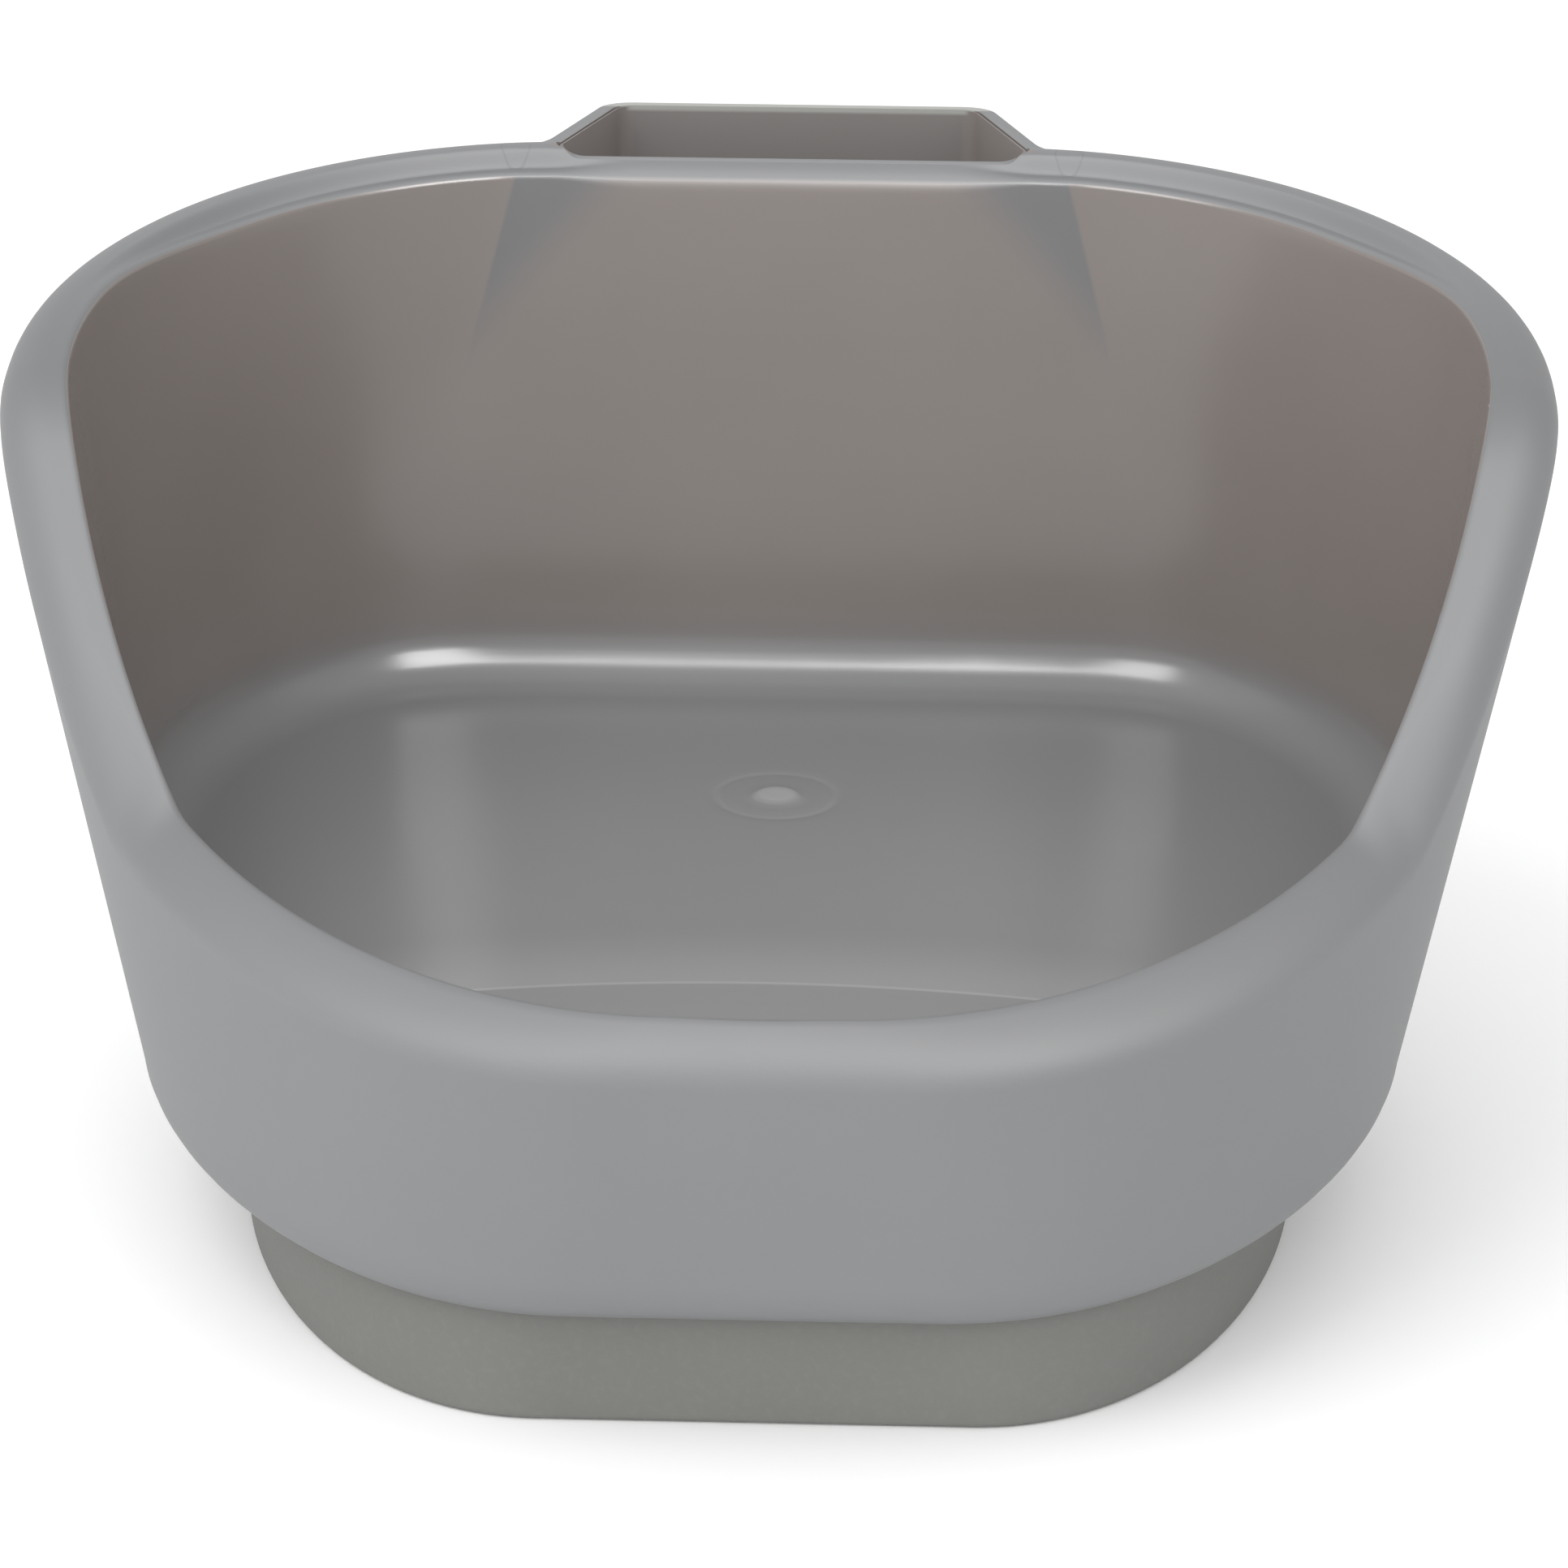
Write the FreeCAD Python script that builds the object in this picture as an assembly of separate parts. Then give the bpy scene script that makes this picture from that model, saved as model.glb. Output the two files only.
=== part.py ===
"""Hair colour bowl: a scoop-fronted mixing bowl with a grip loop and a pressed-on soft base.

Millimetres, +Z up.  The origin is the centre of the face that the bowl rests on.  The low
pouring lip faces -Y and the grip loop is at +Y.
"""
import FreeCAD
import Part

import math
import os
from FreeCAD import Vector

# Heights
FOOT_HEIGHT = 10.3         # visible height of the soft base
CORNER_HEIGHT = 5.0        # rise of the rounded lower corner of the bowl
WALL_START = FOOT_HEIGHT + CORNER_HEIGHT
FLOOR_TOP = 29.9           # inside floor, raised above a hollow underside
RIM_LEVEL = 70.7           # level at which the rim outline is given
ABOVE_ALL = 100.0          # any level above the whole bowl

# Plan outlines: half width, distance back, distance front, y of the widest place, and half
# the length of the straight run across the front
WALL_FOOT = (55.8, 50.2, 49.9, 7.4, 12.2)      # outer wall at WALL_START
WALL_RIM = (66.5, 58.8, 55.4, 11.0, 9.2)       # outer wall at RIM_LEVEL
BOTTOM_EDGE = (48.0, 46.0, 45.6, 7.3, 15.6)    # where the lower corner meets the soft base
FOOT = (46.8, 45.0, 45.0, 7.3, 17.3)           # soft base at its resting face
BACK_FLAT = 18.5           # half length of the straight run across the back
REAR_FULLNESS = 0.75       # conic weight of the rear corners; a quarter ellipse has root 0.5
FRONT_FULLNESS = math.sqrt(0.5)

# Wall thickness
WALL_THIN = 2.2            # at WALL_START
WALL_THICK = 6.5           # at RIM_LEVEL
SKIRT_WALL = 2.4           # below the floor, and the floor itself
FLOOR_CORNER = 5.5         # inside radius between floor and wall
RAMP_START = -27.0         # y where the floor turns up towards the lip
RAMP_ANGLE = 11.0          # degrees
PANEL_TOP = (52.1, 77.7)   # (y, z) on the flat panel on the inside of the back
PANEL_SLOPE = 0.13         # its lean to the rear for each millimetre of height

# Rim line, seen from the side as (y, z)
LIP = (-80.0, 27.9)        # on the gentle slope of the pouring lip, ahead of the bowl
KINK = (-25.5, 43.6)       # where the lip turns up into the side slope
SHOULDER = (0.6, 71.4)     # where the side slope turns into the high back
REAR = (90.0, 85.9)        # on the gentle slope of the high back, behind the bowl
KINK_RADIUS = 4.0
SHOULDER_RADIUS = 16.0
RIM_ROUND = 2.0            # rounding of the outer edge of the rim

# Grip loop behind the back wall
LOOP_TOP = 79.7            # level of its flat top
LOOP_HEIGHT = 24.0
LOOP_REAR = 77.1           # y of its far side
LOOP_HALF = 24.2           # half width of its outer sides at SLOT_FRONT
LOOP_NARROWING = 0.25      # loss of half width for each millimetre to the rear
LOOP_CORNER = 3.6          # outside radius of its two far corners
SLOT_FRONT = 54.5          # y of the front of the opening, at the top
SLOT_FRONT_LOW = 56.6      # and at the bottom, where it leaves the outer wall
SLOT_HALF = 22.7           # half width of the opening at SLOT_FRONT
SLOT_REAR = 74.9           # y of the far side of the opening
SLOT_CORNER = 1.8

# Soft base
FOOT_DRAFT = 0.5           # growth of its outline over FOOT_HEIGHT
FOOT_PLATE = 2.6           # thickness of its closed bottom
NECK_INSET = 6.0           # from the outline of the foot to the opening in the bowl's underside
NECK_WALL = 2.0
BEAD = 1.0                 # how far the retaining bead reaches over the edge of the opening
BEAD_HEIGHT = 2.2
TREAD_WIDTH = 5.0          # width of the ring that touches the table
TREAD_RECESS = 0.8         # depth of the recess inside that ring
CENTRE_PAD = 15.0          # radius of the round pad left in the middle of the recess


def blend(low, high, share):
    """Outline numbers a share of the way from one outline to another."""
    return tuple(a + (b - a) * share for a, b in zip(low, high))


def grow(outline, amount):
    """The outline moved outwards by amount on every side."""
    half_width, back, front, widest, front_flat = outline
    return (half_width + amount, back + amount, front + amount, widest, front_flat)


def mirrored(point):
    return Vector(-point.x, point.y, point.z)


def corner_curve(start, corner, end, fullness):
    """Conic from start to end, inside the square corner between them."""
    curve = Part.BezierCurve()
    curve.setPoles([start, corner, end])
    curve.setWeight(2, fullness)
    return curve.toShape()


def wire(outline, z):
    """Closed plan outline at height z: two straight runs joined by four corners."""
    half_width, back, front, widest, flat = outline
    rear_flat = Vector(BACK_FLAT, back, z)
    side = Vector(half_width, widest, z)
    front_flat = Vector(flat, -front, z)
    rear_corner = Vector(half_width, back, z)
    front_corner = Vector(half_width, -front, z)
    return Part.Wire([
        Part.makeLine(mirrored(rear_flat), rear_flat),
        corner_curve(rear_flat, rear_corner, side, REAR_FULLNESS),
        corner_curve(side, front_corner, front_flat, FRONT_FULLNESS),
        Part.makeLine(front_flat, mirrored(front_flat)),
        corner_curve(mirrored(front_flat), mirrored(front_corner), mirrored(side),
                     FRONT_FULLNESS),
        corner_curve(mirrored(side), mirrored(rear_corner), mirrored(rear_flat),
                     REAR_FULLNESS),
    ])


def straight(low, z_low, high, z_high):
    """Solid with straight sides between two outlines."""
    return Part.makeLoft([wire(low, z_low), wire(high, z_high)], True, True)


def outer_wall(z):
    """Outline of the outer wall at height z."""
    return blend(WALL_FOOT, WALL_RIM, (z - WALL_START) / (RIM_LEVEL - WALL_START))


def inner_wall(z):
    """Outline of the inside of the wall, which thickens towards the rim."""
    share = (z - WALL_START) / (RIM_LEVEL - WALL_START)
    return grow(outer_wall(z), -(WALL_THIN + (WALL_THICK - WALL_THIN) * share))


def lower_corner(inset, steps=6):
    """Rounded lower corner between the soft base and the wall, moved inwards by inset."""
    sections = []
    for step in range(steps + 1):
        turn = 0.5 * math.pi * step / steps
        rise = (CORNER_HEIGHT - inset) * (1.0 - math.cos(turn))
        outline = grow(blend(BOTTOM_EDGE, WALL_FOOT, math.sin(turn)), -inset)
        sections.append(wire(outline, FOOT_HEIGHT + inset + rise))
    return Part.makeLoft(sections, True, False)


def below_ramp():
    """Everything under the ramp that leads up from the floor to the lip."""
    ahead = 60.0
    half_span = 2.0 * WALL_RIM[0]
    rise = ahead * math.tan(math.radians(RAMP_ANGLE))
    corners = [Vector(-half_span, RAMP_START, FLOOR_TOP),
               Vector(-half_span, RAMP_START - ahead, FLOOR_TOP + rise),
               Vector(-half_span, RAMP_START - ahead, 0.0),
               Vector(-half_span, RAMP_START, 0.0)]
    face = Part.Face(Part.makePolygon(corners + corners[:1]))
    return face.extrude(Vector(2.0 * half_span, 0, 0))


def bottom_edges(shape):
    """Edges that lie in the lowest plane of a shape."""
    low = min(vertex.Z for vertex in shape.Vertexes)
    return [edge for edge in shape.Edges
            if all(abs(vertex.Z - low) < 0.01 for vertex in edge.Vertexes)]


def rim_edges(wall):
    """Edges along the rim of a wall that has been cut at the rim line."""
    across = 4.0 * BACK_FLAT       # longer straight edges only cross the cut face
    return [edge for edge in wall.Edges
            if min(vertex.Z for vertex in edge.Vertexes) > WALL_START + 0.01
            and not (edge.BoundBox.YLength < 0.5 and edge.Length > across)]


def corner_arc(before, point, after, radius):
    """Arc that rounds the corner at point, in the side view."""
    tip = Vector(0, *point)
    into = (Vector(0, *before) - tip).normalize()
    out = (Vector(0, *after) - tip).normalize()
    half = 0.5 * into.getAngle(out)
    reach = radius / math.tan(half)
    middle = (into + out).normalize() * (radius / math.sin(half) - radius)
    return Part.Arc(tip + into * reach, tip + middle, tip + out * reach).toShape()


def above_rim():
    """Everything above the rim line, as one solid across the full width."""
    kink = corner_arc(LIP, KINK, SHOULDER, KINK_RADIUS)
    shoulder = corner_arc(KINK, SHOULDER, REAR, SHOULDER_RADIUS)
    start = Vector(0, *LIP)
    end = Vector(0, *REAR)
    top_rear = Vector(0, REAR[0], ABOVE_ALL + 1.0)
    top_front = Vector(0, LIP[0], ABOVE_ALL + 1.0)
    profile = Part.Wire([
        Part.makeLine(start, kink.Vertexes[0].Point), kink,
        Part.makeLine(kink.Vertexes[-1].Point, shoulder.Vertexes[0].Point), shoulder,
        Part.makeLine(shoulder.Vertexes[-1].Point, end),
        Part.makeLine(end, top_rear), Part.makeLine(top_rear, top_front),
        Part.makeLine(top_front, start),
    ])
    half_span = 2.0 * WALL_RIM[0]
    slab = Part.Face(profile).extrude(Vector(2.0 * half_span, 0, 0))
    slab.translate(Vector(-half_span, 0, 0))
    return slab


def loop_block(half, front_low, front_top, rear, radius, z_low, z_top):
    """Upright block that narrows to the rear, with its two rear corners rounded.

    half is the half width at SLOT_FRONT, and the front may lean from front_low to front_top.
    """
    def outline(front, z):
        front_half = half - LOOP_NARROWING * (front - SLOT_FRONT)
        rear_half = half - LOOP_NARROWING * (rear - SLOT_FRONT)
        corners = [Vector(-front_half, front, z), Vector(front_half, front, z),
                   Vector(rear_half, rear, z), Vector(-rear_half, rear, z)]
        return Part.makePolygon(corners + corners[:1])

    block = Part.makeLoft([outline(front_low, z_low), outline(front_top, z_top)], True, True)
    rear_corners = [edge for edge in block.Edges
                    if all(abs(vertex.Y - rear) < 0.01 for vertex in edge.Vertexes)
                    and abs(edge.Vertexes[0].Z - edge.Vertexes[-1].Z) > 1.0]
    return block.makeFillet(radius, rear_corners)


def with_grip_loop(wall):
    """The wall with the grip loop behind it, open from top to bottom."""
    low = LOOP_TOP - LOOP_HEIGHT
    lean = (SLOT_FRONT_LOW - SLOT_FRONT) / LOOP_HEIGHT
    beyond = 3.0               # the opening is cut this far past the loop, above and below
    block = loop_block(LOOP_HALF, SLOT_FRONT - 1.0, SLOT_FRONT - 1.0, LOOP_REAR, LOOP_CORNER,
                       low, LOOP_TOP)
    opening = loop_block(SLOT_HALF, SLOT_FRONT_LOW + lean * beyond, SLOT_FRONT - lean * beyond,
                         SLOT_REAR, SLOT_CORNER, low - beyond, LOOP_TOP + beyond)
    return wall.fuse(block).cut(opening)


def behind_panel():
    """Everything behind the flat panel on the inside of the back."""
    def panel_y(z):
        return PANEL_TOP[0] + PANEL_SLOPE * (z - PANEL_TOP[1])

    half_span = 2.0 * WALL_RIM[0]
    far = 2.0 * WALL_RIM[1]
    corners = [Vector(-half_span, panel_y(0.0), 0.0), Vector(-half_span, far, 0.0),
               Vector(-half_span, far, 1.1 * ABOVE_ALL),
               Vector(-half_span, panel_y(1.1 * ABOVE_ALL), 1.1 * ABOVE_ALL)]
    face = Part.Face(Part.makePolygon(corners + corners[:1]))
    return face.extrude(Vector(2.0 * half_span, 0, 0))


def bowl_body():
    """Bowl, rim, grip loop and the skirt below the floor, moulded in one piece."""
    wall = straight(WALL_FOOT, WALL_START, outer_wall(ABOVE_ALL), ABOVE_ALL).cut(above_rim())
    wall = wall.makeFillet(RIM_ROUND, rim_edges(wall))
    cavity = straight(inner_wall(FLOOR_TOP), FLOOR_TOP, inner_wall(ABOVE_ALL), ABOVE_ALL)
    cavity = cavity.cut(behind_panel())
    cavity = cavity.makeFillet(FLOOR_CORNER, bottom_edges(cavity)).cut(below_ramp())
    body = with_grip_loop(wall).cut(cavity).fuse(lower_corner(0.0))

    roof = FLOOR_TOP - SKIRT_WALL
    hollow = straight(grow(WALL_FOOT, -SKIRT_WALL), WALL_START,
                      grow(outer_wall(roof), -SKIRT_WALL), roof)
    neck = grow(FOOT, -NECK_INSET)
    mouth = straight(neck, FOOT_HEIGHT - 1.0, neck, WALL_START)
    return body.cut(hollow).cut(lower_corner(SKIRT_WALL)).cut(mouth).removeSplitter()


def non_slip_base():
    """Soft closed cup under the bowl, held by a bead over the edge of the bowl's opening."""
    neck = grow(FOOT, -NECK_INSET)
    flange_top = FOOT_HEIGHT + SKIRT_WALL
    cup = straight(FOOT, 0.0, grow(FOOT, FOOT_DRAFT), FOOT_HEIGHT)
    cup = cup.fuse(straight(neck, FOOT_HEIGHT, neck, flange_top))
    cup = cup.fuse(straight(grow(neck, BEAD), flange_top, neck, flange_top + BEAD_HEIGHT))
    hollow = grow(neck, -NECK_WALL)
    cup = cup.cut(straight(hollow, FOOT_PLATE, hollow, ABOVE_ALL))
    inside_ring = grow(FOOT, -TREAD_WIDTH)
    recess = straight(inside_ring, -1.0, inside_ring, TREAD_RECESS)
    recess = recess.cut(Part.makeCylinder(CENTRE_PAD, ABOVE_ALL, Vector(0, 0, -2.0)))
    return cup.cut(recess).removeSplitter()


os.makedirs("parts", exist_ok=True)
for name, make in (("bowl_body", bowl_body), ("non_slip_base", non_slip_base)):
    shape = make()
    print(name, "valid", shape.isValid(), "solids", len(shape.Solids), "mm3", round(shape.Volume))
    shape.exportStep("parts/%s.step" % name)
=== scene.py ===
"""Looks of a hair colour bowl: a moulded bowl with a low lip, a grip loop and a soft base."""
import math

import bmesh
import bpy
import numpy as np
from bpy.props import FloatProperty, FloatVectorProperty, PointerProperty
from bpy.types import Operator, Panel, PropertyGroup
from mathutils import Matrix, Vector


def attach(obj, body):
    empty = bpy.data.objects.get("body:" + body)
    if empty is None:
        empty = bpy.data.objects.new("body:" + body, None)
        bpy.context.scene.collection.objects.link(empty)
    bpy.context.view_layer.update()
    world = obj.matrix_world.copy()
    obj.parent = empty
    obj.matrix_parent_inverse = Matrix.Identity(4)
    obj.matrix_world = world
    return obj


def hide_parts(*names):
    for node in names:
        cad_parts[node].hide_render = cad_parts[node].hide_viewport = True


bl_info = {
    "name": "Hair Colour Bowl",
    "version": (1, 0, 0),
    "blender": (4, 5, 0),
    "location": "View3D > Sidebar > Bowl",
    "description": "Builds a moulded hair colour bowl, its soft base and a studio",
    "category": "Add Mesh",
}

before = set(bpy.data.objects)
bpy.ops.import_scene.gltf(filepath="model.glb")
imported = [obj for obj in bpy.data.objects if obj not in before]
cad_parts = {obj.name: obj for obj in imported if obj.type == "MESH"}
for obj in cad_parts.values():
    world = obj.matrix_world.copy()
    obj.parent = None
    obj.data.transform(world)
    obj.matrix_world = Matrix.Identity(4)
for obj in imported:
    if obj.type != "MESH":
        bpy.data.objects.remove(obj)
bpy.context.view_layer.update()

MM = 0.001

# Plan outlines in millimetres: half width, distance back, distance front, y of the widest
# place, and half the length of the straight run across the front
WALL_FOOT = np.array([55.8, 50.2, 49.9, 7.4, 12.2])
WALL_RIM = np.array([66.5, 58.8, 55.4, 11.0, 9.2])
BOTTOM_EDGE = np.array([48.0, 46.0, 45.6, 7.3, 15.6])
FOOT = np.array([46.8, 45.0, 45.0, 7.3, 17.3])
ALL_ROUND = np.array([1.0, 1.0, 1.0, 0.0, 0.0])      # grows or shrinks an outline evenly
NECK = FOOT - 6.0 * ALL_ROUND      # opening in the bowl's underside and neck of the base
BACK_FLAT = 18.5           # half the length of the straight run across the back
REAR_FULLNESS = 0.75       # weight of a conic corner; a quarter ellipse has the root of 0.5
FRONT_FULLNESS = math.sqrt(0.5)
RIM_LEVEL = 70.7           # height at which WALL_RIM is given

# Rim line, seen from the side as (y, z), and the radii of its two corners
RIM_LINE = [(-80.0, 27.9), (-25.5, 43.6), (0.6, 71.4), (90.0, 85.9)]
RIM_RADII = [4.0, 16.0]

GATE_MARK = (0.0, 15.0)    # where the plastic entered the mould, in the middle of the floor
GATE_RING = 5.5            # radius of the faint ring round it
EJECTOR_MARK = (26.3, 54.7)        # on the right of the high rim, with its like on the left
EJECTOR_RADIUS = 1.35
LIP_SPAN = (-14.0, -30.0)          # y over which the rim becomes the thin pouring lip
HIGH_RIM_SPAN = (20.0, 45.0)       # y over which it becomes the wide rim at the back


def length(text, default_mm, description):
    """A length property given in millimetres and kept in metres."""
    return FloatProperty(name=text, description=description, default=default_mm * MM,
                         min=0.0, unit="LENGTH", precision=5)


def colour(text, default, description):
    return FloatVectorProperty(name=text, description=description, default=default,
                               subtype="COLOR", size=3, min=0.0, max=1.0)


def share(text, default, description, top=1.0):
    return FloatProperty(name=text, description=description, default=default,
                         min=0.0, max=top, subtype="FACTOR")


class BowlSizes(PropertyGroup):
    """Sizes of the moulded bowl."""
    corner_height: length("Lower Corner", 5.0, "Rise of the rounded corner above the base")
    floor_height: length("Floor Height", 29.9, "Inside floor above the table")
    floor_corner: length("Floor Corner", 5.5, "Radius between the floor and the wall")
    wall_thin: length("Wall at Foot", 2.2, "Wall thickness just above the lower corner")
    wall_thick: length("Wall at Rim", 6.5, "Wall thickness near the rim")
    skirt_wall: length("Skirt Wall", 2.4, "Wall thickness below the floor")
    roll_depth: length("Rim Roll Depth", 4.2, "How far the rolled rim reaches down")
    band_drop: length("Rim Band Drop", 1.65, "Fall of the high rim towards the inside")
    inner_round: length("Inner Edge Radius", 0.6, "Rounding of the inner edge of the rim")
    ramp_angle: FloatProperty(name="Ramp Angle", default=math.radians(11.0), subtype="ANGLE",
                              description="Slope of the floor up to the pouring lip")
    loop_top: length("Loop Top", 80.0, "Flat top of the grip loop above the table")
    loop_height: length("Loop Height", 24.0, "Height of the grip loop")
    loop_flare: length("Loop Flare", 6.0, "Radius where the loop runs into the wall")


class BaseSizes(PropertyGroup):
    """Sizes of the soft base."""
    height: length("Base Height", 10.3, "Visible height of the soft base")
    draft: length("Draft", 0.5, "Growth of the outline over that height")
    edge_round: length("Edge Radius", 0.7, "Rounding of the lower edge")
    tread_width: length("Tread Width", 5.0, "Width of the ring that touches the table")
    tread_recess: length("Tread Recess", 0.8, "Depth of the recess inside the ring")
    pad_radius: length("Centre Pad", 15.0, "Radius of the pad in the middle of the recess")


class BowlFinish(PropertyGroup):
    """Colours and gloss of the plastic and the soft base."""
    shell: colour("Plastic", (0.170, 0.173, 0.177), "Grey of the moulded plastic outside")
    # Painted light: the inner wall and floor are the same grey plastic as the outside; these two
    # colours are painted casts of the light inside the bowl, warm on the wall and cool on the
    # floor.
    inside_wall_lit_tint: colour("Inside Wall", (0.188, 0.166, 0.156), "Warmer grey of the inner wall")
    floor_lit_tint: colour("Inside Floor", (0.184, 0.186, 0.188), "Cooler grey of the floor")
    # Painted shade beside the creases of the back panel.
    panel_crease_shade: colour("Back Panel", (0.130, 0.137, 0.143), "Tint beside the panel's creases")
    base: colour("Soft Base", (0.150, 0.151, 0.142), "Grey of the soft base")
    satin: share("Outside Roughness", 0.58, "Roughness of the satin outside")
    polish: share("Inside Roughness", 0.24, "Roughness of the polished inside")
    rubber: share("Base Roughness", 0.72, "Roughness of the soft base")


class StudioLook(PropertyGroup):
    """Lights and floor of the studio."""
    table: colour("Table", (0.96, 0.96, 0.96), "Pale table that the bowl stands on")
    room: share("Room Light", 1.04, "Even light from all round", top=3.0)
    key: share("Key Card", 7.0, "Power of the left card seen in the gloss", top=100.0)
    fill: share("Fill Card", 10.0, "Power of the right card seen in the gloss", top=100.0)
    top: share("Top Light", 2.6, "Power of the soft light above on the left", top=100.0)
    side: share("Side Light", 0.9, "Power of the soft light at the left side", top=100.0)
    front: share("Front Light", 5.4, "Power of the soft light in front of the lip", top=100.0)


# ---------------------------------------------------------------- outlines

class Columns:
    """Upright lines round the bowl, each a fixed mix of the numbers of a plan outline."""

    def __init__(self, back, rear, front, lip):
        rows = []
        for part in np.linspace(0.0, 1.0, back, endpoint=False):
            rows.append((0, part, 0, 1, 0, 0))
        for first, corner, last in self.corner_shares(rear, REAR_FULLNESS):
            rows.append((corner + last, first, 0, first + corner, 0, last))
        for first, corner, last in self.corner_shares(front, FRONT_FULLNESS):
            rows.append((first + corner, 0, last, 0, corner + last, first))
        for part in np.linspace(1.0, 0.0, lip + 1):
            rows.append((0, 0, part, 0, 1, 0))
        right = np.array(rows)
        left = right[-2:0:-1] * np.array([-1, -1, -1, 1, 1, 1])
        self.mix = np.vstack([right, left])
        self.count = len(self.mix)

    def corner_shares(self, count, fullness):
        """Shares of a conic's start, corner and end points at steps round it."""
        for turn in np.linspace(0.0, 0.5 * math.pi, count, endpoint=False):
            t = math.tan(0.5 * turn) * math.sqrt(2.0)
            t = t / (1.0 + t * (1.0 - 1.0 / math.sqrt(2.0)))
            shares = np.array([(1 - t) ** 2, 2 * fullness * t * (1 - t), t ** 2])
            yield shares / shares.sum()

    def plan(self, outline):
        """x and y of each column on an outline, which may differ from column to column."""
        width, back, front, widest, flat = np.moveaxis(np.asarray(outline, float), -1, 0)
        m = self.mix
        x = m[:, 0] * width + m[:, 1] * BACK_FLAT + m[:, 2] * flat
        y = m[:, 3] * back - m[:, 4] * front + m[:, 5] * widest
        return x, y

    def ring(self, outline, z):
        x, y = self.plan(outline)
        return np.stack([x, y, np.broadcast_to(z, x.shape)], axis=1)


def smoothstep(low, high, value):
    t = np.clip((np.asarray(value, float) - low) / (high - low), 0.0, 1.0)
    return t * t * (3.0 - 2.0 * t)


def rim_height(y):
    """Height of the rim line at y, with its corners rounded."""
    y = np.asarray(y, float)
    points = np.array(RIM_LINE)
    z = np.interp(y, points[:, 0], points[:, 1])
    for before, tip, after, radius in zip(points, points[1:], points[2:], RIM_RADII):
        into = (before - tip) / np.linalg.norm(before - tip)
        out = (after - tip) / np.linalg.norm(after - tip)
        half = 0.5 * math.acos(float(np.dot(into, out)))
        reach = radius / math.tan(half)
        start, end = tip + into * reach, tip + out * reach
        middle = into + out
        centre = tip + middle / np.linalg.norm(middle) * radius / math.sin(half)
        side = math.copysign(1.0, float(tip[1] - centre[1]))
        inside = (y > start[0]) & (y < end[0])
        rise = np.sqrt(np.maximum(radius ** 2 - (y - centre[0]) ** 2, 0.0))
        z = np.where(inside, centre[1] + side * rise, z)
    return z


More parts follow.
